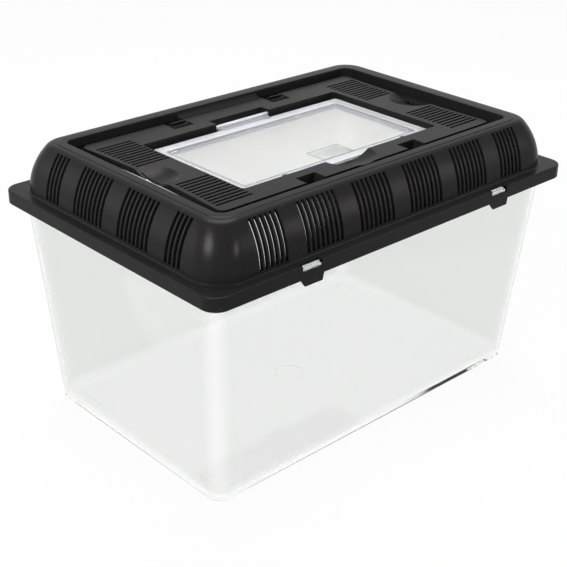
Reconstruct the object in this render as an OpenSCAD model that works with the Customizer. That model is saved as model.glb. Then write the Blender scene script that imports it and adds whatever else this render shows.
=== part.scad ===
// Plastic pet keeper: clear moulded tub, black vented dome lid, hinged top hatch with a small clear
// feeding door, and four snap tabs that hold the lid on the tub.
// +Z is up, the long side runs along X, the front is at -Y. The origin is on the ground, centred.

/* [Tub] */
// Outside length of the tub at its floor
tub_floor_l = 264.6; // [250:0.2:270]
// Outside width of the tub at its floor
tub_floor_w = 162.6; // [150:0.2:168]
// How far each wall leans out from the floor to the rim
tub_lean = 10.5; // [6:0.1:11]
// Height of the tub's rim above the ground
tub_h = 145.85; // [145:0.05:145.9]
// Wall thickness of the tub
tub_wall = 2; // [1.6:0.1:2.4]
// Radius of the tub's upright corners
tub_corner_r = 8.5; // [6:0.5:12]
// Height of the foot ridges
foot_h = 1; // [0.6:0.1:1.4]
// Length of each arm of a foot ridge
foot_arm = 20; // [12:1:26]
// Width of a foot ridge
foot_w = 3; // [2:0.5:4]
// Diameter of the gate mark under the floor
gate_d = 20; // [14:1:24]

/* [Lid] */
// Length of the lid over its skirt
lid_l = 300; // [296:0.5:304]
// Width of the lid over its skirt
lid_w = 202.7; // [200:0.1:206]
// Radius of the skirt's corners
skirt_r = 10; // [8:0.5:12]
// Height of the skirt's lower edge
skirt_z = 139.4; // [138:0.1:141]
// Height of the ledge on top of the skirt
ledge_z = 147.9; // [147.9:0.1:149]
// Height of the lip at the top of the dome
lip_z = 178.9; // [177:0.1:182]
// Wall thickness of the lid
lid_wall = 2; // [1.8:0.1:2.2]
// Width of the ledge between the skirt's face and the dome
dome_inset = 6.8; // [6:0.1:8]
// Radius of the dome's side, seen from the end
dome_r = 47; // [45:0.5:52]
// Radius of the shoulder between the dome's side and its lip
shoulder_r = 5.7; // [4:0.1:7]
// Plan radius of the dome's corners at the ledge
dome_corner_r = 20; // [18:0.5:22]
// How much the plan radius falls for each millimetre the wall leans in
corner_fall = 0.55; // [0.4:0.05:0.7]
// Height of the raised strip along the lip
strip_h = 0.4; // [0.2:0.1:0.6]
// Length of the well inside the lip
well_l = 241.8; // [240:0.1:243]
// Width of the well inside the lip
well_w = 145.9; // [145:0.1:147]
// Radius of the well's corners
well_r = 6; // [5:0.5:8]
// Height of the seat that the hatch lies on
seat_z = 171.7; // [171.5:0.1:172]

/* [Side vents] */
// Width of a vent slot
slot_w = 2.4; // [1.8:0.1:2.6]
// Distance from one slot to the next
slot_pitch = 3.7; // [3.5:0.05:3.8]
// Height of the slots' lower ends
slot_low_z = 150.2; // [149.5:0.1:153]
// Height of the slots' upper ends
slot_high_z = 177.2; // [172:0.1:177.3]

/* [Hatch] */
// Length of the hatch at its corners
hatch_l = 227.4; // [225:0.2:228]
// How far each end of the hatch bows in at its middle
hatch_bow = 2.8; // [1.5:0.1:3.5]
// Front edge of the hatch
hatch_front = -64.7; // [-66:0.1:-64]
// Rear edge of the hatch
hatch_rear = 66.9; // [66:0.1:67]
// Height of the hatch's top face
hatch_z = 175.2; // [174.8:0.1:175.5]
// Thickness of the hatch's plate and walls
hatch_wall = 1.8; // [1.6:0.1:2]
// Length of the opening for the feeding door
port_l = 163.4; // [160:0.2:165]
// Front edge of that opening
port_front = -47.9; // [-49:0.1:-47]
// Rear edge of that opening
port_rear = 45.3; // [44.5:0.1:45.5]
// Slots in each of the hatch's four grilles
grille_count = 11; // [8:1:11]
// Width of a grille slot
grille_slot = 2; // [1.4:0.1:2.2]

/* [Feeding door] */
// Gap between the door and the sides and front of its opening
door_gap = 1.4; // [1.3:0.1:1.6]
// Thickness of the door
door_wall = 1.5; // [1.3:0.1:1.6]
// Height of the door's top face
door_z = 171.7; // [171.5:0.1:172]
// Depth of the rim under the door
door_rim = 2.8; // [2:0.2:2.8]
// Distance of that rim from the door's edge
door_rim_in = 7.6; // [4:0.2:8]

/* [Hinges and catches] */
// Diameter of the hatch's hinge pins
hatch_pin_d = 3; // [2.6:0.1:3.2]
// Diameter of the feeding door's hinge pins
door_pin_d = 2.4; // [2:0.1:2.6]
// Gap around a pin in its hook or socket
pin_gap = 0.06; // [0.03:0.01:0.1]
// Distance of the snap tabs from the middle of their row
tab_x = 80.9; // [79:0.1:83]
// Width of a snap tab
tab_w = 17.2; // [16.8:0.2:19]
// How far a snap tab hangs below the skirt
tab_drop = 3.4; // [3:0.1:5]
// How far the tab's finger edge flares out
tab_flare = 1.2; // [0.6:0.1:1.6]

/* [Hidden] */
$fn = 48;
eps = 0.02;
rest_gap = 0.05;
side_fn = 32;
clear_tint = [0.86, 0.89, 0.93, 0.35];
black = [0.07, 0.07, 0.075];

// Tub
rim_t = 2;
rim_turn = 4.1;
rim_edge_t = 1.6;
rim_play = 0.5;
floor_t = 2.2;
bottom_round = 2;
foot_x = 122.3;
foot_y = 72.1;
foot_cut = 0.8;
gate_depth = 0.5;
catch_w = 14.2;
catch_t = 2.1;
catch_top = ledge_z - 1.1;
catch_low = 143.3;
catch_gap = 0.15;

// Dome section: a large arc that leaves the ledge upright and a small arc that ends level at the lip
side_z = ledge_z - 0.3;
dome_top = lip_z - strip_h;
arc_steps = 7;
shoulder_steps = 4;
arc_dz = dome_top - shoulder_r - side_z;
arc_dx = sqrt(pow(dome_r - shoulder_r, 2) - pow(arc_dz, 2));
turn = atan2(arc_dz, arc_dx);
function side_point(a) = [dome_inset + dome_r * (1 - cos(a)), side_z + dome_r * sin(a)];
function shoulder_point(a) = [dome_inset + dome_r - arc_dx - shoulder_r * cos(a),
                              dome_top - shoulder_r + shoulder_r * sin(a)];
section = concat([for (i = [0 : arc_steps]) side_point(turn * i / arc_steps)],
                 [for (i = [1 : shoulder_steps]) shoulder_point(turn + (90 - turn) * i / shoulder_steps)]);
function plan_r(inset) = dome_corner_r - corner_fall * (inset - dome_inset);

strip_inset = 22.3;
seat_t = 2;
well_x = -0.7;
well_y = -0.35;
front_seat = 3.2;
side_seat = 5;
swing_gap = 1;
skirt_t = 2.2;

// Vent slots: how many stand in each group and how far the group's middle lies from the row's middle
long_groups = [[8, 21], [8, 63.1], [6, 101.4]];
long_shift = -0.35;
short_groups = [[8, 21.3], [4, 57]];
short_shift = -1.7;
slot_reach = 20.6;

// Hooks and pins at the rear of the hatch
hook_x = 41.9;
hook_shift = -1.1;
hook_w = 11;
hook_wall = 1.6;
hook_root = 8.4;
notch_w = 15.4;
notch_front = 54.9;
pin_y = 61.5;
pin_z = 173.5;
seat_rear = pin_y + 5.4 + swing_gap;
platform_w = 68;
platform_x = -1.1;

hatch_y = (hatch_front + hatch_rear) / 2;
hatch_w = hatch_rear - hatch_front;
hatch_r = 5.5;
bow_r = (pow(hatch_w / 2, 2) + pow(hatch_bow, 2)) / (2 * hatch_bow);
function hatch_end(y) = hatch_l / 2 - hatch_bow + bow_r - sqrt(pow(bow_r, 2) - pow(y - hatch_y, 2));
port_x = -1.8;
port_y = (port_front + port_rear) / 2;
port_w = port_rear - port_front;
port_r = 2.5;
frame_t = 1.6;
frame_low = door_z - door_wall - 2.4;
step_w = 3.6;
grille_in = 84;
grille_end = 2.8;
grille_pitch = 3.72;
grille_rear_y = 36.8;
grille_front_y = -37.7;
pocket_x = 42.75;
pocket_shift = -0.45;
pocket_w = 15.2;
pocket_rear = -55.4;
pocket_low = 168;
dish_wall = 1.5;
end_dish_r = 16;
end_dish_depth = 3.9;
front_dish_x = -1.1;
front_dish_r = 18.2;
front_dish_depth = 5.1;
detent_x = 50;
detent_r = 2.2;
detent_low = door_z + 0.5;

door_rear_gap = 4;
hinge_x = -2.5;
hinge_w = 42;
hinge_play = 1.5;
hinge_rear = 49.4;
hinge_notch_rear = 52.7;
door_pin_y = 47;
door_pin_z = door_z + 0.6;
door_pin_len = 3.6;
socket_w = 4.6;
pull_w = 27;
pull_front = -39.5;
pull_rear = -23.3;
pull_depth = 2.6;
pull_wall = 1.2;

// Snap tabs
tab_t = 1.3;
tab_shift = 0.9;
tab_chamfer = 2.1;
tab_low = skirt_z - tab_drop;
tab_axis_z = ledge_z - 1.4;
tab_axis_y = lid_w / 2 - tab_t / 2;
tab_side_gap = 0.12;
window_w = 14.8;
window_low = 143.9;
window_deep = 3.9;

// Rounded rectangle from squares and circles
module rounded(l, w, r) {
  square([l - 2 * r, w], center = true);
  square([l, w - 2 * r], center = true);
  for (x = [-1, 1], y = [-1, 1]) translate([x * (l / 2 - r), y * (w / 2 - r)]) circle(r);
}

// Rounded plate that rises from height z1 to height z2
module plate(l, w, r, z1, z2) {
  translate([0, 0, z1]) linear_extrude(z2 - z1) rounded(l, w, r);
}

// Upright ring: a plate with a smaller rounded opening
module ring(l, w, r, t, z1, z2) {
  difference() {
    plate(l, w, r, z1, z2);
    plate(l - 2 * t, w - 2 * t, max(r - t, 0.5), z1 - 1, z2 + 1);
  }
}

// Thin level slice, for hulls
module slice(l, w, r, z) {
  translate([0, 0, z]) linear_extrude(eps) rounded(l, w, r, $fn = side_fn);
}

module mirror_copy(v) {
  children();
  mirror(v) children();
}

// Flips its children along X and Y by the signs given
module flip(sx, sy) {
  mirror([sx < 0 ? 1 : 0, 0, 0]) mirror([0, sy < 0 ? 1 : 0, 0]) children();
}

// Tub

module tub_body(inset, z_floor) {
  lean = tub_lean * (z_floor - foot_h) / (tub_h - foot_h);
  hull() {
    slice(tub_floor_l - 2 * (inset + bottom_round - lean), tub_floor_w - 2 * (inset + bottom_round - lean),
          tub_corner_r - bottom_round, z_floor);
    slice(tub_floor_l - 2 * (inset - lean), tub_floor_w - 2 * (inset - lean), tub_corner_r - inset / 2,
          z_floor + bottom_round);
    slice(tub_floor_l + 2 * (tub_lean - inset), tub_floor_w + 2 * (tub_lean - inset),
          tub_corner_r - inset / 2, tub_h - (inset > 0 ? -1 : eps));
  }
}

// Rim that reaches from the wall out to the lid's skirt, with a turned-down edge
module tub_rim() {
  l = lid_l - 2 * (skirt_t + rim_play);
  w = lid_w - 2 * (skirt_t + rim_play);
  plate(l, w, skirt_r - 2, tub_h - rim_t, tub_h);
  ring(l, w, skirt_r - 2, rim_edge_t, tub_h - rim_turn, tub_h);
}

// Catch on the rim that stands in the lid's window
module tub_catch() {
  outer = lid_w / 2 - tab_t - catch_gap;
  translate([tab_x, -outer, 0]) rotate([90, 0, 90]) linear_extrude(catch_w, center = true)
    polygon([[catch_t, catch_low], [0.6, catch_low], [0, catch_low + 0.9], [0, catch_top - 0.6],
             [0.6, catch_top], [catch_t, catch_top]]);
}

module foot_ridge() {
  translate([foot_x, foot_y, 0]) linear_extrude(foot_h + 0.3)
    polygon([[0, 0], [0, foot_cut - foot_arm], [foot_cut - foot_w, -foot_arm], [-foot_w, -foot_w],
             [-foot_arm, foot_cut - foot_w], [foot_cut - foot_arm, 0]]);
}

module tub() {
  color(clear_tint) {
    difference() {
      union() {
        tub_body(0, foot_h);
        tub_rim();
      }
      tub_body(tub_wall, foot_h + floor_t);
      cylinder(h = foot_h + gate_depth, d = gate_d);
    }
    mirror_copy([1, 0, 0]) mirror_copy([0, 1, 0]) foot_ridge();
    translate([tab_shift, 0, 0]) mirror_copy([1, 0, 0]) mirror_copy([0, 1, 0]) tub_catch();
  }
}

// Lid

module dome(offset_in, z_drop) {
  hull() {
    for (p = section) {
      inset = p[0] + offset_in;
      slice(lid_l - 2 * inset, lid_w - 2 * inset, max(plan_r(p[0]) - offset_in, 2), p[1] - z_drop);
    }
    slice(lid_l - 2 * (dome_inset + offset_in), lid_w - 2 * (dome_inset + offset_in),
          dome_corner_r - offset_in, ledge_z - lid_wall - (offset_in > 0 ? 1 : 0));
  }
}

// Row of upright slots, cut from outside the dome's wall to just inside it
module slot_row(count, at, half) {
  for (i = [0 : count - 1])
    translate([at + (i - (count - 1) / 2) * slot_pitch - slot_w / 2, dome_inset - 1 - half, slot_low_z])
      cube([slot_w, slot_reach - dome_inset + 1, slot_high_z - slot_low_z]);
}

module side_vents() {
  for (sx = [-1, 1], sy = [-1, 1]) {
    translate([long_shift, 0, 0]) for (g = long_groups) flip(sx, sy) slot_row(g[0], g[1], lid_w / 2);
    translate([0, short_shift, 0])
      for (g = short_groups) flip(sx, sy) rotate(-90) slot_row(g[0], -g[1], lid_l / 2);
  }
}

// Box between two corners
module span(x1, x2, y1, y2, z1, z2) {
  translate([x1, y1, z1]) cube([x2 - x1, y2 - y1, z2 - z1]);
}

// Opening under the hatch, with room for the parts of the hatch that reach below its seat or swing down
module hatch_opening() {
  low = seat_z - seat_t - 1;
  high = seat_z + 1;
  front = hatch_front + front_seat;
  half = hatch_l / 2 - side_seat;
  rear_half = hatch_l / 2 + swing_gap;
  pocket_half = pocket_w / 2 + hatch_wall + swing_gap;
  span(-half, half, front, seat_rear, low, high);
  span(-rear_half, rear_half, pin_y - 4.6, seat_rear, low, high);
  translate([pocket_shift, 0, 0]) mirror_copy([1, 0, 0])
    span(pocket_x - pocket_half, pocket_x + pocket_half, hatch_front - 0.6, front + 1, low, high);
}

// Hook that holds a hinge pin from behind and below
module lid_hook() {
  r = hatch_pin_d / 2 + pin_gap;
  mouth = r * 1.72;
  difference() {
    union() {
      translate([hook_x, pin_y, pin_z]) rotate([0, 90, 0]) cylinder(h = hook_w, r = r + hook_wall, center = true);
      span(hook_x - hook_w / 2, hook_x + hook_w / 2, pin_y, pin_y + hook_root, seat_z - seat_t, seat_z + 0.6);
    }
    translate([hook_x, pin_y, pin_z]) rotate([0, 90, 0]) cylinder(h = hook_w + 2, r = r, center = true);
    translate([hook_x - hook_w / 2 - 1, pin_y, pin_z]) rotate([35, 0, 0])
      translate([0, -mouth / 2, 0]) cube([hook_w + 2, mouth, 6]);
  }
}

module tab_recess() {
  half = tab_w / 2 + tab_side_gap;
  outside = -lid_w / 2 - 1;
  span(tab_x - half, tab_x + half, outside, -lid_w / 2 + skirt_t + 0.2, skirt_z - 1, tab_axis_z);
  translate([tab_x, -tab_axis_y, tab_axis_z]) rotate([0, 90, 0])
    cylinder(h = 2 * half, r = tab_t / 2 + pin_gap, center = true);
  span(tab_x - window_w / 2, tab_x + window_w / 2, outside, -lid_w / 2 + window_deep, tab_axis_z - 2,
       ledge_z + 1);
}

module lid() {
  color(black) {
    difference() {
      union() {
        ring(lid_l, lid_w, skirt_r, skirt_t, skirt_z, ledge_z);
        plate(lid_l, lid_w, skirt_r, ledge_z - lid_wall, ledge_z);
        difference() {
          dome(0, 0);
          difference() {
            dome(lid_wall, lid_wall);
            translate([well_x, well_y, 0])
              plate(well_l + 2 * lid_wall, well_w + 2 * lid_wall, well_r + lid_wall, seat_z - seat_t, lip_z);
          }
        }
        plate(lid_l - 2 * strip_inset, lid_w - 2 * strip_inset, plan_r(strip_inset), dome_top - 1, lip_z);
      }
      translate([well_x, well_y, 0]) plate(well_l, well_w, well_r, seat_z, lip_z + 1);
      hatch_opening();
      plate(lid_l - 2 * (dome_inset + lid_wall), lid_w - 2 * (dome_inset + lid_wall),
            dome_corner_r - lid_wall, ledge_z - lid_wall - 1, ledge_z + eps);
      side_vents();
      translate([tab_shift, 0, 0]) mirror_copy([1, 0, 0]) mirror_copy([0, 1, 0]) tab_recess();
    }
    span(platform_x - platform_w / 2, platform_x + platform_w / 2, seat_rear, well_y + well_w / 2 + 0.2,
         seat_z - seat_t, hatch_z);
    translate([hook_shift, 0, 0]) mirror_copy([1, 0, 0]) lid_hook();
  }
}

// Hatch

// Hatch outline between two heights, drawn in by an inset, with its bowed ends
module hatch_plate(inset, z1, z2) {
  difference() {
    translate([0, hatch_y, 0])
      plate(hatch_l - 2 * inset, hatch_w - 2 * inset, hatch_r - inset, z1, z2);
    mirror_copy([1, 0, 0]) translate([hatch_l / 2 - hatch_bow - inset + bow_r, hatch_y, z1 - 1])
      cylinder(h = z2 - z1 + 2, r = bow_r, $fn = 240);
  }
}

module dish_sphere(r, depth, extra) {
  big = (r * r + depth * depth) / (2 * depth);
  translate([0, 0, hatch_z + big - depth]) sphere(big + extra, $fn = 96);
}

module end_dish(extra) {
  translate([hatch_l / 2 - hatch_bow, 0, 0]) dish_sphere(end_dish_r, end_dish_depth, extra);
}

module front_dish(extra) {
  translate([front_dish_x, port_front, 0]) dish_sphere(front_dish_r, front_dish_depth, extra);
}

module end_dish_shell() {
  half = end_dish_r + 6;
  intersection() {
    end_dish(dish_wall);
    span(hatch_l / 2 - hatch_bow - half, hatch_l / 2 - side_seat - 0.3, -half, half, frame_low, hatch_z);
  }
}

module front_dish_shell() {
  half = front_dish_r + 4;
  step_y = hatch_front + front_seat + 0.9;
  intersection() {
    front_dish(dish_wall);
    union() {
      span(front_dish_x - half, front_dish_x + half, step_y, port_front, frame_low, hatch_z);
      span(front_dish_x - half, front_dish_x + half, hatch_front, step_y + 1, seat_z + rest_gap, hatch_z);
    }
  }
}

module grille(middle) {
  for (i = [0 : grille_count - 1]) {
    y = middle + (i - (grille_count - 1) / 2) * grille_pitch;
    span(grille_in, hatch_end(y) - grille_end, y - grille_slot / 2, y + grille_slot / 2, frame_low, hatch_z + 1);
  }
}

// Notches for the hooks and pockets in the front edge, grown by the thickness of their walls
module hinge_notch(grow, z1, z2) {
  half = notch_w / 2 + grow;
  translate([hook_shift, 0, 0]) mirror_copy([1, 0, 0])
    span(hook_x - half, hook_x + half, notch_front - grow, grow > 0 ? hatch_rear : hatch_rear + 1, z1, z2);
}

module front_pocket(grow, z1, z2) {
  half = pocket_w / 2 + grow;
  translate([pocket_shift, 0, 0]) mirror_copy([1, 0, 0])
    span(pocket_x - half, pocket_x + half, grow > 0 ? hatch_front : hatch_front - 1, pocket_rear + grow, z1, z2);
}

module door_socket() {
  inner = hinge_w / 2 + hinge_play;
  span(inner, inner + socket_w, port_rear + 0.2, hinge_notch_rear + frame_t, frame_low, hatch_z);
}

module hinge_recess() {
  half = hinge_w / 2 + hinge_play;
  span(hinge_x - half, hinge_x + half, port_rear - 1, hinge_notch_rear, frame_low - 1, hatch_z + 1);
}

module hatch() {
  rest_z = seat_z + rest_gap;
  half = hinge_w / 2 + hinge_play;
  color(black) {
    difference() {
      union() {
        difference() {
          hatch_plate(0, rest_z, hatch_z);
          hatch_plate(hatch_wall, rest_z - 1, hatch_z - hatch_wall);
        }
        translate([port_x, port_y, 0])
          plate(port_l + 2 * frame_t, port_w + 2 * frame_t, port_r + frame_t, frame_low, hatch_z);
        translate([hinge_x, 0, 0]) mirror_copy([1, 0, 0]) door_socket();
        span(hinge_x - half, hinge_x + half, hinge_notch_rear, hinge_notch_rear + frame_t, frame_low, hatch_z);
        hinge_notch(hatch_wall, rest_z, hatch_z);
        front_pocket(hatch_wall, pocket_low, hatch_z);
        mirror_copy([1, 0, 0]) end_dish_shell();
        front_dish_shell();
      }
      translate([port_x, port_y, 0])
        plate(port_l, port_w, port_r, door_z - door_wall - rest_gap, hatch_z + 1);
      translate([port_x, port_y, 0])
        plate(port_l - 2 * step_w, port_w - 2 * step_w, port_r, frame_low - 1, hatch_z + 1);
      hinge_recess();
      translate([hinge_x, door_pin_y, door_pin_z]) rotate([0, 90, 0])
        cylinder(h = hinge_w + 2 * (door_pin_len + 0.3), d = door_pin_d + 2 * pin_gap, center = true);
      hinge_notch(0, frame_low, hatch_z + 1);
      front_pocket(0, frame_low, hatch_z + 1);
      mirror_copy([1, 0, 0]) {
        end_dish(0);
        grille(grille_rear_y);
        grille(grille_front_y);
      }
      front_dish(0);
    }
    translate([hook_shift, 0, 0]) mirror_copy([1, 0, 0]) translate([hook_x, pin_y, pin_z]) rotate([0, 90, 0])
      cylinder(h = notch_w + 2 * hatch_wall, d = hatch_pin_d, center = true);
    translate([port_x, 0, 0]) mirror_copy([1, 0, 0]) translate([detent_x, port_front - 0.9, detent_low])
      cylinder(h = hatch_z - detent_low, r = detent_r);
  }
}

// Feeding door

// Recess for a finger nail: a sloping floor that is deepest at the front
module pull_recess() {
  rotate([90, 0, 90]) linear_extrude(pull_w, center = true)
    polygon([[pull_front, door_z + 1], [pull_front, door_z - pull_depth], [pull_rear, door_z],
             [pull_rear, door_z + 1]]);
}

module pull_shell() {
  low = door_z - door_wall;
  floor_z = door_z - pull_depth - pull_wall;
  rotate([90, 0, 90]) linear_extrude(pull_w + 2 * pull_wall, center = true)
    polygon([[pull_front - pull_wall, low + 0.3], [pull_front - pull_wall, floor_z],
             [pull_front + 1, floor_z], [pull_rear - 2, low], [pull_rear - 2, low + 0.3]]);
}

module feeding_door() {
  l = port_l - 2 * door_gap;
  y1 = port_front + door_gap;
  y2 = port_rear - door_rear_gap;
  middle = (y1 + y2) / 2;
  low = door_z - door_wall;
  color(clear_tint) {
    difference() {
      union() {
        translate([port_x, middle, 0]) plate(l, y2 - y1, port_r - 0.5, low, door_z);
        translate([port_x, middle, 0])
          ring(l - 2 * door_rim_in, y2 - y1 - 2 * door_rim_in, port_r, door_wall, low - door_rim, low + 0.2);
        pull_shell();
      }
      pull_recess();
    }
    span(hinge_x - hinge_w / 2, hinge_x + hinge_w / 2, y2 - 1, hinge_rear, low, door_z);
    translate([hinge_x, door_pin_y, door_pin_z]) rotate([0, 90, 0])
      cylinder(h = hinge_w + 2 * door_pin_len, d = door_pin_d, center = true);
  }
}

// Snap tabs: each hangs from the ledge behind a window and carries a thin bar and a flared finger edge

module tab_side() {
  knee = skirt_z - tab_axis_z + 0.2;
  low = tab_low - tab_axis_z;
  rotate([90, 0, 90]) linear_extrude(tab_w, center = true) {
    circle(tab_t / 2);
    polygon([[-tab_t / 2, 0], [-tab_t / 2, knee], [-tab_t / 2 - tab_flare, low],
             [tab_t / 2 - tab_flare, low], [tab_t / 2, knee], [tab_t / 2, 0]]);
  }
}

module tab_front() {
  knee = skirt_z - tab_axis_z;
  low = tab_low - tab_axis_z;
  half = tab_w / 2;
  rotate([90, 0, 0]) linear_extrude(12, center = true) difference() {
    polygon([[-half, 1], [-half, knee], [tab_chamfer - half, low], [half - tab_chamfer, low], [half, knee],
             [half, 1]]);
    translate([-window_w / 2, window_low - tab_axis_z]) square([window_w, 6]);
  }
}

module snap_tab() {
  color(black) translate([tab_x, -tab_axis_y, tab_axis_z]) intersection() {
    tab_side();
    tab_front();
  }
}

module snap_tab_front_right() { translate([tab_shift, 0, 0]) snap_tab(); }

module snap_tab_front_left() { translate([tab_shift, 0, 0]) flip(-1, 1) snap_tab(); }

module snap_tab_rear_right() { translate([tab_shift, 0, 0]) flip(1, -1) snap_tab(); }

module snap_tab_rear_left() { translate([tab_shift, 0, 0]) flip(-1, -1) snap_tab(); }

tub();
lid();
hatch();
feeding_door();
snap_tab_front_left();
snap_tab_front_right();
snap_tab_rear_left();
snap_tab_rear_right();
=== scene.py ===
import math

import bmesh
import bpy
from mathutils import Matrix, Vector


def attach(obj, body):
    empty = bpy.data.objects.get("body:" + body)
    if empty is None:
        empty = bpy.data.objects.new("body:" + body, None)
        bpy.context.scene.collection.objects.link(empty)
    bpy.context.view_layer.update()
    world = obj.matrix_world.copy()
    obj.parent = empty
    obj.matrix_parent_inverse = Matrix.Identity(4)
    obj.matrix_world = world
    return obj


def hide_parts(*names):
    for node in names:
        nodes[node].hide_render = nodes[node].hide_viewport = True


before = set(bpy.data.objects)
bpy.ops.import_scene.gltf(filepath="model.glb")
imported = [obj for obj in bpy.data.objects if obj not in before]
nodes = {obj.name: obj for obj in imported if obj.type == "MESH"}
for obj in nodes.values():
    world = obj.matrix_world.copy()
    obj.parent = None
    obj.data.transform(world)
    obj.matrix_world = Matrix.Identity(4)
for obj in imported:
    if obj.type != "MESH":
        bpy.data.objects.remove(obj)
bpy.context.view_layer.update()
print("frame loaded:", len(nodes), "nodes")

mm = 0.001


# Camera

cameraValues = {
    "lens": 75.6,
    "sensor": 36.0,
    "target": (-3.53, 3.29, 70.41),
    "distance": 791.4,
    "azimuth": -43.19,
    "elevation": 26.70,
    "roll": 0.92,
    "clip": (0.05, 20),
}


def addCamera(v):
    az, el, roll = (math.radians(v[k]) for k in ("azimuth", "elevation", "roll"))
    back = Vector((math.sin(az) * math.cos(el), -math.cos(az) * math.cos(el), math.sin(el)))
    right = Vector((0, 0, 1)).cross(back).normalized()
    up = back.cross(right)
    turnedRight = right * math.cos(roll) + up * math.sin(roll)
    turnedUp = up * math.cos(roll) - right * math.sin(roll)
    place = Vector(v["target"]) * mm + back * v["distance"] * mm
    data = bpy.data.cameras.new("photoCamera")
    data.sensor_width = v["sensor"]
    data.sensor_fit = "HORIZONTAL"
    data.lens = v["lens"]
    data.clip_start, data.clip_end = v["clip"]
    camera = bpy.data.objects.new("photoCamera", data)
    turned = Matrix((turnedRight, turnedUp, back)).transposed().to_4x4()
    camera.matrix_world = Matrix.Translation(place) @ turned
    bpy.context.scene.collection.objects.link(camera)
    bpy.context.scene.camera = camera


addCamera(cameraValues)
print("camera placed")


# Materials

def newMaterial(name):
    material = bpy.data.materials.new(name)
    material.use_nodes = True
    tree = material.node_tree
    shader = tree.nodes["Principled BSDF"]
    return material, tree, shader


def objectCoordinates(tree):
    return tree.nodes.new("ShaderNodeTexCoord").outputs["Object"]


def noiseTexture(tree, vector, scale, detail):
    noise = tree.nodes.new("ShaderNodeTexNoise")
    noise.inputs["Scale"].default_value = scale
    noise.inputs["Detail"].default_value = detail
    tree.links.new(vector, noise.inputs["Vector"])
    return noise.outputs["Fac"]


noiseSpan = (0.3, 0.7)  # nearly all of a noise texture lies between these


def rampTo(tree, factor, low, high, socket):
    ramp = tree.nodes.new("ShaderNodeMapRange")
    ramp.inputs["From Min"].default_value = noiseSpan[0]
    ramp.inputs["From Max"].default_value = noiseSpan[1]
    ramp.inputs["To Min"].default_value = low
    ramp.inputs["To Max"].default_value = high
    tree.links.new(factor, ramp.inputs["Value"])
    tree.links.new(ramp.outputs["Result"], socket)


def mathNode(tree, operation, a, b=0.0):
    node = tree.nodes.new("ShaderNodeMath")
    node.operation = operation
    for socket, value in zip(node.inputs, (a, b)):
        if isinstance(value, float):
            socket.default_value = value
        else:
            tree.links.new(value, socket)
    return node.outputs[0]


def fadeBetween(tree, value, start, end):
    fade = tree.nodes.new("ShaderNodeMapRange")
    fade.interpolation_type = "SMOOTHSTEP"
    fade.inputs["From Min"].default_value = start
    fade.inputs["From Max"].default_value = end
    tree.links.new(value, fade.inputs["Value"])
    return fade.outputs["Result"]


def mixColors(tree, factor, a, b):
    mix = tree.nodes.new("ShaderNodeMix")
    mix.data_type = "RGBA"
    for socket, color in ((mix.inputs["A"], a), (mix.inputs["B"], b)):
        if isinstance(color, tuple):
            socket.default_value = color
        else:
            tree.links.new(color, socket)
    tree.links.new(factor, mix.inputs["Factor"])
    return mix.outputs["Result"]


def addBump(tree, height, strength, distance):
    bump = tree.nodes.new("ShaderNodeBump")
    bump.inputs["Strength"].default_value = strength
    bump.inputs["Distance"].default_value = distance
    tree.links.new(height, bump.inputs["Height"])
    return bump


blackValues = {
    "color": (0.0092, 0.0087, 0.0090, 1),
    "paler": (0.0120, 0.0113, 0.0116, 1),
    "roughness": (0.25, 0.34),
    "ior": 1.5,
    "specular": 0.06,
    "specularTint": (1.0, 0.945, 0.96, 1),
    "grainScale": 2600,
    "grainHeight": 0.00002,
    "grainStrength": 0.25,
    "waveScale": 26,
    "detail": 2,
    "edgeRadius": 0.00035,
    "edgeSamples": 6,
    "dust": (0.05, 0.05, 0.052, 1),
    "dustScale": 1100,
    "dustDetail": 1,
    "dustAmount": (0.72, 0.77),
}

matteValues = {
    **blackValues,
    "roughness": (0.62, 0.72),
    "specular": 0.03,
}


def blackPlastic(name, v):
    material, tree, shader = newMaterial(name)
    vector = objectCoordinates(tree)
    slow = noiseTexture(tree, vector, v["waveScale"], v["detail"])
    fine = noiseTexture(tree, vector, v["grainScale"], v["detail"])
    dust = noiseTexture(tree, vector, v["dustScale"], v["dustDetail"])
    specks = fadeBetween(tree, dust, *v["dustAmount"])
    plain = mixColors(tree, slow, v["color"], v["paler"])
    tree.links.new(mixColors(tree, specks, plain, v["dust"]), shader.inputs["Base Color"])
    rampTo(tree, slow, *v["roughness"], shader.inputs["Roughness"])
    bump = addBump(tree, fine, v["grainStrength"], v["grainHeight"])
    edge = tree.nodes.new("ShaderNodeBevel")
    edge.samples = v["edgeSamples"]
    edge.inputs["Radius"].default_value = v["edgeRadius"]
    tree.links.new(edge.outputs["Normal"], bump.inputs["Normal"])
    tree.links.new(bump.outputs["Normal"], shader.inputs["Normal"])
    shader.inputs["IOR"].default_value = v["ior"]
    shader.inputs["Specular IOR Level"].default_value = v["specular"]
    shader.inputs["Specular Tint"].default_value = v["specularTint"]
    return material


clearValues = {
    # Painted light: the darker colour is painted shade on the walls' flats, the paler one a painted
    # highlight on the corners and the floor
    "paintedShadeFlats": (0.865, 0.872, 0.866, 1),
    "bright": (0.985, 0.988, 0.985, 1),
    "roughness": (0.01, 0.03),
    "ior": 1.12,
    "coat": 0.4,
    "coatRoughness": 0.02,
    "through": 1.0,
    "waveScale": 9,
    "detail": 1,
    "waveHeight": 0.0004,
    "waveStrength": 0.3,
    "lean": 0.0725,  # how far the walls lean out, per metre of height
    # These bounds place the painted highlight: near the corners, and on the floor low down
    "cornerX": (0.119, 0.131),
    "cornerY": (0.068, 0.080),
    "floor": (0.012, 0.003),
}


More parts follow.
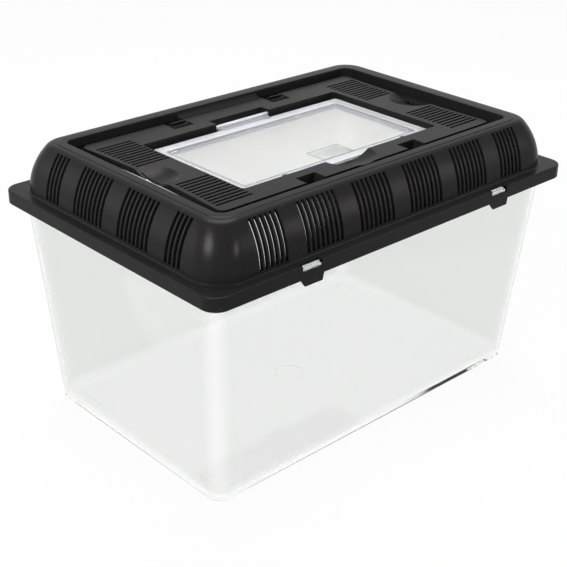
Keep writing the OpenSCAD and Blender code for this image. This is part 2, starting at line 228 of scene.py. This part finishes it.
def paintedHighlightShare(tree, vector, v):
    # Painted light: the walls' flats take the darker colour as painted shade, and the corners and the floor
    # stay bright as a painted highlight
    split = tree.nodes.new("ShaderNodeSeparateXYZ")
    tree.links.new(vector, split.inputs[0])
    lean = mathNode(tree, "MULTIPLY", split.outputs["Z"], v["lean"])
    nearX = mathNode(tree, "SUBTRACT", mathNode(tree, "ABSOLUTE", split.outputs["X"]), lean)
    nearY = mathNode(tree, "SUBTRACT", mathNode(tree, "ABSOLUTE", split.outputs["Y"]), lean)
    corner = mathNode(tree, "MULTIPLY", fadeBetween(tree, nearX, *v["cornerX"]),
                      fadeBetween(tree, nearY, *v["cornerY"]))
    return mathNode(tree, "MAXIMUM", corner, fadeBetween(tree, split.outputs["Z"], *v["floor"]))


def clearPlastic(name, v):
    material, tree, shader = newMaterial(name)
    vector = objectCoordinates(tree)
    slow = noiseTexture(tree, vector, v["waveScale"], v["detail"])
    rampTo(tree, slow, *v["roughness"], shader.inputs["Roughness"])
    # Base colour with painted shade on the walls' flats and a painted highlight on the corners and the
    # floor
    color = mixColors(tree, paintedHighlightShare(tree, vector, v), v["paintedShadeFlats"], v["bright"])
    tree.links.new(color, shader.inputs["Base Color"])
    shader.inputs["Transmission Weight"].default_value = v["through"]
    shader.inputs["IOR"].default_value = v["ior"]
    shader.inputs["Coat Weight"].default_value = v["coat"]
    shader.inputs["Coat Roughness"].default_value = v["coatRoughness"]
    bump = addBump(tree, slow, v["waveStrength"], v["waveHeight"])
    tree.links.new(bump.outputs["Normal"], shader.inputs["Normal"])
    return material


bandValues = {
    **clearValues,
    "paintedShadeFlats": (0.80, 0.80, 0.83, 1),
    "bright": (0.80, 0.80, 0.83, 1),
    "roughness": (0.18, 0.3),
    "ior": 1.3,
    "through": 0.6,
}

beadValues = {
    **bandValues,
    "paintedShadeFlats": (0.55, 0.55, 0.64, 1),
    "bright": (0.55, 0.55, 0.64, 1),
    "through": 0.7,
}

doorClearValues = {
    **clearValues,
    "paintedShadeFlats": (0.985, 0.99, 0.975, 1),
    "bright": (0.985, 0.99, 0.975, 1),
    "roughness": (0.2, 0.24),
    "ior": 1.3,
}


def dress(piece, material):
    piece.data.materials.clear()
    piece.data.materials.append(material)


blackMaterial = blackPlastic("blackMouldedPlastic", blackValues)
matteMaterial = blackPlastic("blackInnerSide", matteValues)
clearMaterial = clearPlastic("clearStyrene", clearValues)
doorMaterial = clearPlastic("clearDoorStyrene", doorClearValues)
bandMaterial = clearPlastic("frostedDoorEdge", bandValues)
beadMaterial = clearPlastic("doorRimLine", beadValues)
clearNodes = ("tub", "feeding_door")
for name, piece in nodes.items():
    dress(piece, clearMaterial if name in clearNodes else blackMaterial)
print("materials ready")


# Mesh helpers, all in millimetres until a piece is finished

def ringPoints(ring, xs, ys, steps):
    left, right, front, rear, r, z = ring
    points = []

    def corner(x, y, start):
        for i in range(1, steps):
            angle = math.radians(start + 90 * i / steps)
            points.append((x + r * math.cos(angle), y + r * math.sin(angle), z))

    points += [(x, front, z) for x in [left + r] + xs + [right - r]]
    corner(right - r, front + r, -90)
    points += [(right, y, z) for y in [front + r] + ys + [rear - r]]
    corner(right - r, rear - r, 0)
    points += [(x, rear, z) for x in [right - r] + xs[::-1] + [left + r]]
    corner(left + r, rear - r, 90)
    points += [(left, y, z) for y in [rear - r] + ys[::-1] + [front + r]]
    corner(left + r, front + r, 180)
    return points


def ringSpans(xs, ys, steps):
    spans = []
    for side, stations in (("front", xs), ("right", ys), ("rear", xs[::-1]), ("left", ys[::-1])):
        spans.append((side, None))
        if stations:
            spans += [(side, (a + b) / 2) for a, b in zip(stations, stations[1:])]
            spans.append((side, None))
        spans += [("corner", None)] * steps
    return spans


def addSheet(shape, rows, xs, ys, steps, isOpen=None):
    spans = ringSpans(xs, ys, steps)
    loops = [[shape.verts.new(p) for p in ringPoints(ring, xs, ys, steps)] for ring, band in rows]
    for (low, high), (ring, band) in zip(zip(loops, loops[1:]), rows):
        for i, (side, middle) in enumerate(spans):
            if middle is not None and isOpen(band, side, middle):
                continue
            j = (i + 1) % len(spans)
            shape.faces.new((low[i], low[j], high[j], high[i]))
    return loops


def extrudeFaces(shape, faces, offset, slot=0):
    raised = bmesh.ops.extrude_face_region(shape, geom=faces, use_keep_orig=True)["geom"]
    verts = [part for part in raised if isinstance(part, bmesh.types.BMVert)]
    bmesh.ops.translate(shape, vec=offset, verts=verts)
    for face in {f for vert in verts for f in vert.link_faces} | set(faces):
        face.material_index = slot


bevelSegments = 4
samePlace = 0.01  # millimetres, nearer than which two places count as one


def addRectangle(shape, edges, corner, z):
    left, right, front, rear = edges
    made = bmesh.ops.create_grid(shape, x_segments=1, y_segments=1, size=0.5)["verts"]
    bmesh.ops.scale(shape, vec=(right - left, rear - front, 1), verts=made)
    bmesh.ops.translate(shape, vec=((left + right) / 2, (front + rear) / 2, z), verts=made)
    if not corner:
        return made[0].link_faces[0]
    rounded = bmesh.ops.bevel(shape, geom=made, offset=corner, segments=bevelSegments, profile=0.5,
                              affect="VERTICES", material=-1)
    return rounded["verts"][0].link_faces[0]


def cutAlong(shape, faces, edges):
    left, right, front, rear = edges
    for place, across in (((left, 0, 0), (1, 0, 0)), ((right, 0, 0), (1, 0, 0)),
                          ((0, front, 0), (0, 1, 0)), ((0, rear, 0), (0, 1, 0))):
        around = list(dict.fromkeys(part for f in faces for part in (f, *f.edges, *f.verts)))
        cut = bmesh.ops.bisect_plane(shape, geom=around, dist=samePlace, plane_co=place, plane_no=across)
        faces = [part for part in cut["geom"] if isinstance(part, bmesh.types.BMFace)]
    return faces


def isWithin(face, edges):
    left, right, front, rear = edges
    middle = face.calc_center_median()
    return left < middle.x < right and front < middle.y < rear


def addBar(shape, profile, x1, x2):
    face = shape.faces.new([shape.verts.new((x1, y, z)) for y, z in profile])
    extrudeFaces(shape, [face], (x2 - x1, 0, 0))


def addPlate(shape, outline, z1, z2):
    face = shape.faces.new([shape.verts.new((x, y, z1)) for x, y in outline])
    extrudeFaces(shape, [face], (0, 0, z2 - z1))


def arcPoints(y, z, r, start, end, steps):
    angles = [math.radians(start + (end - start) * i / steps) for i in range(steps + 1)]
    return [(y + r * math.cos(a), z + r * math.sin(a)) for a in angles]


sharpAngle = 35  # degrees between faces, past which an edge isn't shaded round


def newPiece(name, shape, materials):
    bmesh.ops.scale(shape, vec=(mm, mm, mm), verts=shape.verts)
    bmesh.ops.recalc_face_normals(shape, faces=shape.faces)
    mesh = bpy.data.meshes.new(name)
    for material in materials:
        mesh.materials.append(material)
    shape.to_mesh(mesh)
    shape.free()
    mesh.polygons.foreach_set("use_smooth", [True] * len(mesh.polygons))
    mesh.set_sharp_from_angle(angle=math.radians(sharpAngle))
    piece = bpy.data.objects.new(name, mesh)
    bpy.context.scene.collection.objects.link(piece)
    even = piece.modifiers.new("evenFaces", "WEIGHTED_NORMAL")
    even.keep_sharp = True
    return piece


def thickened(shape, thickness, innerSlot):
    mesh = bpy.data.meshes.new("sheet")
    shape.to_mesh(mesh)
    shape.free()
    sheet = bpy.data.objects.new("sheet", mesh)
    bpy.context.scene.collection.objects.link(sheet)
    solidify = sheet.modifiers.new("wall", "SOLIDIFY")
    solidify.thickness = thickness
    solidify.offset = -1
    solidify.use_even_offset = True
    solidify.material_offset = innerSlot
    solidify.material_offset_rim = innerSlot
    for slot in range(innerSlot + 1):
        mesh.materials.append(None)
    settled = bpy.data.meshes.new_from_object(sheet.evaluated_get(bpy.context.evaluated_depsgraph_get()))
    result = bmesh.new()
    result.from_mesh(settled)
    bpy.data.objects.remove(sheet)
    for used in (mesh, settled):
        bpy.data.meshes.remove(used)
    return result


# Lid: skirt, ledge, domed sides with their slots, lip and well as one sheet, then the seat and the hooks

lidValues = {
    "half": (150.0, 101.35),
    "skirtLow": 139.4,
    "skirtRows": ((0.3, 0, 9.7), (0, 0.3, 10)),  # inset, height over the skirt's foot, corner radius
    "tabTop": (147.2, 10),
    "ledge": 147.9,
    "ledgeRows": ((0.12, -0.3, 10, "window"), (0.35, -0.08, 10, "window"), (0.7, 0, 10, "window"),
                  (3.9, 0, 15, "plain"), (5.7, 0, 19, "plain"), (6.25, 0.12, 19.5, "plain"),
                  (6.65, 0.5, 20, "plain"), (6.8, 1.2, 20, "plain")),
    "lip": 178.9,
    "strip": 0.4,
    "stripInset": 22.3,
    "stripRows": ((-0.3, 0), (0, 0.05), (0.3, 0.2), (0.6, 0.35), (1.0, 0.4)),  # further in, higher
    "wall": 2.7,
    "innerSlot": 1,  # of the lid's two materials, for the wall's inner side
    "domeInset": 6.8,
    "domeRadius": 47.0,
    "domeFoot": 147.6,
    "domeSteps": 10,
    "shoulder": 5.7,
    "shoulderSteps": (3, 6),
    "domeCorner": 20.0,
    "cornerFall": 0.55,
    "well": (-121.6, 120.2, -73.3, 72.6),
    "wellCorner": 6.0,
    "wellRows": ((0.6, 0), (0.3, -0.06), (0.08, -0.28), (0, -0.6)),  # further out, height from the lip
    "seat": 171.7,
    "seatRise": 3,
    "slot": (2.4, 3.7, 150.2, 177.2),  # width, pitch, lower end, upper end
    "longGroups": ((8, 21.0), (8, 63.1), (6, 101.4)),  # slots, and how far to both sides their middle is
    "longShift": -0.35,
    "shortGroups": ((8, 21.3), (4, 57.0)),
    "shortShift": -1.7,
    "tabs": (-80.0, 81.8),
    "tabHalf": 8.72,
    "windowHalf": 7.4,
    "cornerSteps": 12,
}


def slotSpans(groups, shift, width, pitch):
    spans = []
    for count, at in groups:
        for sign in (-1, 1):
            for i in range(count):
                middle = shift + sign * (at + (i - (count - 1) / 2) * pitch)
                spans.append((middle - width / 2, middle + width / 2))
    return spans


def edgesOf(spans):
    return sorted({round(x, 3) for span in spans for x in span})


def lidRows(v):
    halfX, halfY = v["half"]

    def around(inset, z, r):
        return (inset - halfX, halfX - inset, inset - halfY, halfY - inset, r, z)

    def upTheDome(inset, z):
        return around(inset, z, v["domeCorner"] - v["cornerFall"] * (inset - v["domeInset"]))

    rows = [(around(inset, v["skirtLow"] + up, r), "skirt") for inset, up, r in v["skirtRows"]]
    rows.append((around(0, *v["tabTop"]), "window"))
    rows += [(around(inset, v["ledge"] + up, r), band) for inset, up, r, band in v["ledgeRows"]]
    stripLow = v["lip"] - v["strip"]
    shoulderLow = stripLow - v["shoulder"]
    rise = shoulderLow - v["domeFoot"]
    reach = math.sqrt((v["domeRadius"] - v["shoulder"]) ** 2 - rise ** 2)
    turn = math.degrees(math.atan2(rise, reach))
    slotLow = math.degrees(math.asin((v["slot"][2] - v["domeFoot"]) / v["domeRadius"]))
    slotHigh = math.degrees(math.asin((v["slot"][3] - shoulderLow) / v["shoulder"]))
    for i in range(v["domeSteps"] + 1):
        angle = math.radians(slotLow + (turn - slotLow) * i / v["domeSteps"])
        inset = v["domeInset"] + v["domeRadius"] * (1 - math.cos(angle))
        rows.append((upTheDome(inset, v["domeFoot"] + v["domeRadius"] * math.sin(angle)), "slot"))
    lowSteps, highSteps = v["shoulderSteps"]
    for start, end, steps, band in ((turn, slotHigh, lowSteps, "slot"), (slotHigh, 90, highSteps, "plain")):
        for i in range(1, steps + 1):
            angle = math.radians(start + (end - start) * i / steps)
            inset = v["domeInset"] + v["domeRadius"] - reach - v["shoulder"] * math.cos(angle)
            z = shoulderLow + v["shoulder"] * math.sin(angle)
            rows.append((upTheDome(inset, z), band if i < steps else "plain"))
    for further, up in v["stripRows"]:
        rows.append((upTheDome(v["stripInset"] + further, stripLow + up), "plain"))
    left, right, front, rear = v["well"]
    wellRows = [(grow, v["lip"] + up) for grow, up in v["wellRows"]]
    for grow, z in wellRows + [(0, v["seat"] + v["seatRise"]), (0, v["seat"])]:
        ring = (left - grow, right + grow, front - grow, rear + grow, v["wellCorner"] + grow, z)
        rows.append((ring, "plain"))
    return rows


def lidSheet(v):
    width, pitch = v["slot"][:2]
    longSlots = slotSpans(v["longGroups"], v["longShift"], width, pitch)
    shortSlots = slotSpans(v["shortGroups"], v["shortShift"], width, pitch)
    tabSpans = [(x - v["tabHalf"], x + v["tabHalf"]) for x in v["tabs"]]
    windowSpans = [(x - v["windowHalf"], x + v["windowHalf"]) for x in v["tabs"]]

    def isOpen(band, side, middle):
        if band == "slot":
            return any(a < middle < b for a, b in (longSlots if side in ("front", "rear") else shortSlots))
        if side in ("front", "rear") and band in ("skirt", "window"):
            return any(a < middle < b for a, b in (tabSpans if band == "skirt" else windowSpans))
        return False

    shape = bmesh.new()
    stations = edgesOf(longSlots + tabSpans + windowSpans)
    addSheet(shape, lidRows(v), stations, edgesOf(shortSlots), v["cornerSteps"], isOpen)
    return thickened(shape, v["wall"], v["innerSlot"])


seatValues = {
    "edges": (-122.6, 121.2, -74.3, 73.6),
    "holes": ((-114.7, 114.7, -61.5, 67.9), (31.9, 52.7, -65.3, -60.5), (-53.6, -32.8, -65.3, -60.5)),
    "thick": 2.0,
    "platform": (-35.1, 32.9, 67.9, 175.2),  # two ends, front edge, top
    "platformEdge": (0.12, 0.4),
    "platformRound": (2.2, 6),  # radius, steps
    "platformSink": 1.0,
    "hooks": (-43.0, 40.8),
    "hookWidth": 11.0,
    "pin": (61.5, 173.5, 1.56),  # y, z and radius of the hook's bore
    "hookWall": 1.6,
    "mouth": (125, 25, 59),  # where it opens, and half its width outside and inside, in degrees
    "curlSteps": (28, 18),
    "root": (1.9, 2.4, 70.5, 0.6),  # front foot, front top, rear end, height over the seat
    "rootInset": 0.02,
}


def addSeat(shape, v, seat, wellRear):
    low = seat - v["thick"]
    faces = [addRectangle(shape, v["edges"], 0, low)]
    for hole in v["holes"]:
        faces = cutAlong(shape, faces, hole)
    gaps = [f for f in faces if any(isWithin(f, hole) for hole in v["holes"])]
    kept = [f for f in faces if f not in gaps]
    bmesh.ops.delete(shape, geom=gaps, context="FACES")
    extrudeFaces(shape, kept, (0, 0, v["thick"]))
    x1, x2, y, top = v["platform"]
    small, edge = v["platformEdge"]
    r, steps = v["platformRound"]
    profile = [(y, low), (y, top - edge), (y + small, top - small), (y + edge, top)]
    profile += arcPoints(wellRear - r, top + r, r, 270, 360, steps)
    buried = wellRear + v["platformSink"]
    profile += [(buried, top + r), (buried, low)]
    addBar(shape, profile[::-1], x1, x2)


def addHooks(shape, v, seat):
    y, z, r = v["pin"]
    outer = r + v["hookWall"]
    aim, outerHalf, innerHalf = v["mouth"]
    outerSteps, innerSteps = v["curlSteps"]
    curl = arcPoints(y, z, outer, aim + outerHalf, aim - outerHalf + 360, outerSteps)
    curl += arcPoints(y, z, r, aim - innerHalf + 360, aim + innerHalf, innerSteps)
    foot, top, end, rise = v["root"]
    low = seat - v["thick"]
    root = [(y + foot, low), (end, low), (end, seat + rise), (y + top, seat + rise)]
    for x in v["hooks"]:
        x1, x2 = x - v["hookWidth"] / 2, x + v["hookWidth"] / 2
        addBar(shape, curl, x1, x2)
        addBar(shape, root, x1 + v["rootInset"], x2 - v["rootInset"])


lidShape = lidSheet(lidValues)
addSeat(lidShape, seatValues, lidValues["seat"], lidValues["well"][3])
addHooks(lidShape, seatValues, lidValues["seat"])
lidPiece = newPiece("lidShell", lidShape, (blackMaterial, matteMaterial))
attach(lidPiece, "lid")
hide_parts("lid")
print("lid ready:", len(lidPiece.data.polygons), "faces")


# Tub: one closed surface from the gate mark out over the floor, up the wall, round the rim and down inside

tubValues = {
    "floorHalf": (132.3, 81.3),
    "lean": 10.5,
    "foot": 1.0,
    "height": 145.85,
    "wall": 2.0,
    "floor": 2.2,
    "corner": 8.5,
    "innerCorner": (7.7, 7.5),  # at the rim's top, below it
    "bottomRound": 2.0,
    "roundSteps": 5,
    "rimHalf": (147.3, 98.65),
    "rimCorner": 8.0,
    "rimThick": 2.0,
    "rimTurn": 4.1,
    "rimEdge": 1.6,
    "softEdge": 0.3,
    "gate": (10.0, 0.5),  # radius, depth
    "gateFlat": 0.02,
    "cornerSteps": 14,
    "catches": (-80.0, 81.8),
    "catchHalf": 7.1,
    "catch": (99.9, 97.8, 143.3, 146.8),  # outer and inner side, foot, top
    "catchEdge": (0.6, 0.9),  # how far in both corners are cut, and how far up the lower one is
    "footArms": (122.3, 72.1, 20.0, 3.0, 0.8),  # corner's x and y, length, width, cut at the ends
    "footSink": 0.3,
}


def tubRows(v):
    def level(inset, r, z):
        lean = v["lean"] * (z - v["foot"]) / (v["height"] - v["foot"])
        x, y = v["floorHalf"][0] + lean - inset, v["floorHalf"][1] + lean - inset
        return (-x, x, -y, y, r, z)

    def rim(inset, z):
        x, y = v["rimHalf"][0] - inset, v["rimHalf"][1] - inset
        return (-x, x, -y, y, v["rimCorner"] - inset, z)

    def disc(z):
        r = v["gate"][0]
        half = r + v["gateFlat"]
        return (-half, half, -half, half, r, z)

    def bottomRound(innerSide, corner, z):
        made = []
        for i in range(v["roundSteps"] + 1):
            angle = math.radians(90 * i / v["roundSteps"])
            inset = v["bottomRound"] * (1 - math.sin(angle))
            up = v["bottomRound"] * (1 - math.cos(angle))
            made.append(level(innerSide + inset, corner - inset, z + up))
        return made

    soft, edge, top, wall = v["softEdge"], v["rimEdge"], v["height"], v["wall"]
    rimLow, turned = top - v["rimThick"], top - v["rimTurn"]
    atTop, below = v["innerCorner"]
    rows = [disc(v["foot"] + v["gate"][1]), disc(v["foot"])]
    rows += bottomRound(0, v["corner"], v["foot"])
    rows.append(level(0, v["corner"], rimLow))
    rows += [rim(edge, rimLow), rim(edge, turned + soft), rim(edge - soft, turned), rim(soft, turned),
             rim(0, turned + soft), rim(0, top - soft), rim(soft, top)]
    rows += [level(wall - soft, atTop, top), level(wall, below, top - soft)]
    rows += bottomRound(wall, below, v["foot"] + v["floor"])[::-1]
    return [(ring, "plain") for ring in rows]


def addCatches(shape, v):
    outer, inner, low, high = v["catch"]
    cut, up = v["catchEdge"]
    profile = [(-inner, low), (cut - outer, low), (-outer, low + up),
               (-outer, high - cut), (cut - outer, high), (-inner, high)]
    for x in v["catches"]:
        for side in (1, -1):
            addBar(shape, [(side * y, z) for y, z in profile], x - v["catchHalf"], x + v["catchHalf"])


def addFeet(shape, v):
    x, y, arm, width, cut = v["footArms"]
    outline = [(0, 0), (0, cut - arm), (cut - width, -arm),
               (-width, -width), (-arm, cut - width), (cut - arm, 0)]
    for signX in (1, -1):
        for signY in (1, -1):
            placed = [(signX * (x + a), signY * (y + b)) for a, b in outline]
            addPlate(shape, placed, 0, v["foot"] + v["footSink"])


tubShape = bmesh.new()
tubLoops = addSheet(tubShape, tubRows(tubValues), [], [], tubValues["cornerSteps"])
tubShape.faces.new(tubLoops[0][::-1])
tubShape.faces.new(tubLoops[-1])
addCatches(tubShape, tubValues)
addFeet(tubShape, tubValues)
tubPiece = newPiece("tubShell", tubShape, (clearMaterial,))
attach(tubPiece, "tub")
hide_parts("tub")
print("tub ready:", len(tubPiece.data.polygons), "faces")


# Feeding door: a clear plate in a frosted band, a rim beneath, a finger pull, a hinge plate and its rod

doorValues = {
    "edges": (-82.1, 78.5, -46.5, 41.3),
    "corner": 2.0,
    "low": 170.2,
    "top": 171.7,
    "band": 7.4,
    "line": 0.8,
    "lineDepth": 0.3,
    "lineRise": 0.05,  # the turned-over door clears the lid by 0.19 mm only
    "rimInset": 7.5,
    "rimWall": 1.5,
    "rimDepth": 2.8,
    "joined": 0.1,  # how far the rim and the lugs reach into the plate
    "pull": (-11.4, 14.6, -39.4, -23.4),
    "pullSlope": 1.7,
    "pullDepth": (1.1, 0.3),  # at the front, at the rear
    "pullLine": 0.5,
    "hinge": (-23.5, 18.5, 40.8, 49.4),
    "rod": (-2.5, 47.0, 172.3),
    "rodRadius": 1.2,
    "rodLength": 49.2,
    "rodSides": 20,
    "lugs": ((-72.5, -66.5), (31.5, 37.5)),
    "lugReach": 2.6,
    "lugDepth": 1.2,
    "slots": {"clear": 0, "frosted": 1, "line": 2},
}


def inside(edges, inset):
    left, right, front, rear = edges
    return (left + inset, right - inset, front + inset, rear - inset)


def insetFaces(shape, faces, thickness):
    made = bmesh.ops.inset_region(shape, faces=faces, thickness=thickness, use_boundary=True,
                                  use_even_offset=True)
    return made["faces"]


def addBlock(shape, edges, z1, z2, slot):
    extrudeFaces(shape, [addRectangle(shape, edges, 0, z1)], (0, 0, z2 - z1), slot)


def addRing(shape, edges, corner, wall, z1, z2, slot):
    middle = addRectangle(shape, edges, corner, z1)
    wallFaces = insetFaces(shape, [middle], wall)
    bmesh.ops.delete(shape, geom=[middle], context="FACES")
    extrudeFaces(shape, wallFaces, (0, 0, z2 - z1), slot)


def sinkPull(shape, v):
    top = [f for f in shape.faces if f.calc_center_median().z > v["top"] - samePlace]
    pull = [f for f in cutAlong(shape, top, v["pull"]) if isWithin(f, v["pull"])]
    insetFaces(shape, pull, v["pullSlope"])
    deep, shallow = v["pullDepth"]
    middle = pull[0].calc_center_median().y
    for vert in pull[0].verts:
        vert.co.z -= deep if vert.co.y < middle else shallow


def roundCorners(shape, v):
    left, right = v["edges"][:2]
    ends = {w for w in shape.verts if w.co.x < left + samePlace or w.co.x > right - samePlace}
    upright = [e for e in shape.edges if abs(e.verts[0].co.z - e.verts[1].co.z) > samePlace]
    bmesh.ops.bevel(shape, geom=[e for e in upright if ends.issuperset(e.verts)], offset=v["corner"],
                    segments=bevelSegments, profile=0.5, affect="EDGES", material=-1)


def doorPlate(v):
    shape = bmesh.new()
    slots, low, top = v["slots"], v["low"], v["top"]
    middle = inside(v["edges"], v["band"])
    addBlock(shape, middle, low, top, slots["clear"])
    sinkPull(shape, v)
    addRing(shape, v["edges"], 0, v["band"], low, top, slots["frosted"])
    roundCorners(shape, v)
    for edges, width in ((middle, v["line"]), (v["pull"], v["pullLine"])):
        addRing(shape, edges, 0, width, top - v["lineDepth"], top + v["lineRise"], slots["line"])
    return shape


def addDoorParts(shape, v):
    slots, low, over = v["slots"], v["low"], v["low"] + v["joined"]
    rim = inside(v["edges"], v["rimInset"])
    addRing(shape, rim, v["corner"], v["rimWall"], low - v["rimDepth"], over, slots["line"])
    addBlock(shape, v["hinge"], low, v["top"], slots["line"])
    for x1, x2 in v["lugs"]:
        lug = (x1, x2, rim[3] - v["lugReach"], rim[3])
        addBlock(shape, lug, low - v["lugDepth"], over, slots["frosted"])
    place = Matrix.Translation(v["rod"]) @ Matrix.Rotation(math.radians(90), 4, "Y")
    rod = bmesh.ops.create_cone(shape, cap_ends=True, segments=v["rodSides"], radius1=v["rodRadius"],
                                radius2=v["rodRadius"], depth=v["rodLength"], matrix=place)
    for face in {f for vert in rod["verts"] for f in vert.link_faces}:
        face.material_index = slots["frosted"]


doorShape = doorPlate(doorValues)
addDoorParts(doorShape, doorValues)
doorPiece = newPiece("doorPlate", doorShape, (doorMaterial, bandMaterial, beadMaterial))
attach(doorPiece, "feeding_door")
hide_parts("feeding_door")
print("feeding door ready:", len(doorPiece.data.polygons), "faces")


# Floor, world and lamps

stageValues = {
    "floorSize": 12.0,
    "floorColor": (0.6, 0.6, 0.6, 1),
    "floorRoughness": 0.9,
    "floorWhite": 0.94,
    "worldLight": 0.22,
    "lampAim": (0, 0, 0.1),
}

lampValues = {
    "left": {"place": (-1.12, -0.22, 0.78), "size": 0.5, "power": 18},
    "farLeft": {"place": (-0.95, 0.80, 0.40), "size": 0.6, "power": 2},
    "front": {"place": (0.22, -1.26, 0.60), "size": 0.3, "power": 5},
    "right": {"place": (0.84, -0.97, 0.44), "size": 0.4, "power": 3},
    "top": {"place": (0.30, 0.40, 1.5), "size": 1.0, "power": 22},
}


def seenDirectly(tree):
    path = tree.nodes.new("ShaderNodeLightPath").outputs
    cameraOrGlossy = mathNode(tree, "MAXIMUM", path["Is Camera Ray"], path["Is Glossy Ray"])
    return mathNode(tree, "MAXIMUM", cameraOrGlossy, path["Is Transmission Ray"])


def addBackground(tree, strength):
    background = tree.nodes.new("ShaderNodeBackground")
    background.inputs["Color"].default_value = (1, 1, 1, 1)
    background.inputs["Strength"].default_value = strength
    return background.outputs[0]


def addWorld(v):
    world = bpy.data.worlds.new("paleStudio")
    world.use_nodes = True
    tree = world.node_tree
    tree.nodes.clear()
    mix = tree.nodes.new("ShaderNodeMixShader")
    out = tree.nodes.new("ShaderNodeOutputWorld")
    tree.links.new(seenDirectly(tree), mix.inputs["Fac"])
    tree.links.new(addBackground(tree, v["worldLight"]), mix.inputs[1])
    tree.links.new(addBackground(tree, 1.0), mix.inputs[2])
    tree.links.new(mix.outputs[0], out.inputs["Surface"])
    bpy.context.scene.world = world


def addFloor(v):
    shape = bmesh.new()
    bmesh.ops.create_grid(shape, x_segments=1, y_segments=1, size=v["floorSize"] / 2)
    mesh = bpy.data.meshes.new("floor")
    shape.to_mesh(mesh)
    shape.free()
    floor = bpy.data.objects.new("floor", mesh)
    bpy.context.scene.collection.objects.link(floor)
    material, tree, shader = newMaterial("paleFloor")
    shader.inputs["Base Color"].default_value = v["floorColor"]
    shader.inputs["Roughness"].default_value = v["floorRoughness"]
    shader.inputs["Specular IOR Level"].default_value = 0.0
    white = tree.nodes.new("ShaderNodeEmission")
    mix = tree.nodes.new("ShaderNodeMixShader")
    tree.links.new(mathNode(tree, "MULTIPLY", seenDirectly(tree), v["floorWhite"]), mix.inputs["Fac"])
    tree.links.new(shader.outputs[0], mix.inputs[1])
    tree.links.new(white.outputs[0], mix.inputs[2])
    tree.links.new(mix.outputs[0], tree.nodes["Material Output"].inputs["Surface"])
    dress(floor, material)


def addLamp(name, v, aimedAt):
    data = bpy.data.lights.new(name, "AREA")
    data.shape = "DISK"
    data.size = v["size"]
    data.energy = v["power"]
    lamp = bpy.data.objects.new(name, data)
    lamp.location = v["place"]
    aim = Vector(aimedAt) - lamp.location
    lamp.rotation_euler = aim.to_track_quat("-Z", "Y").to_euler()
    bpy.context.scene.collection.objects.link(lamp)


addWorld(stageValues)
addFloor(stageValues)
for lampName, lampValue in lampValues.items():
    addLamp(lampName, lampValue, stageValues["lampAim"])
bpy.context.scene.view_settings.view_transform = "Standard"
print("studio ready")
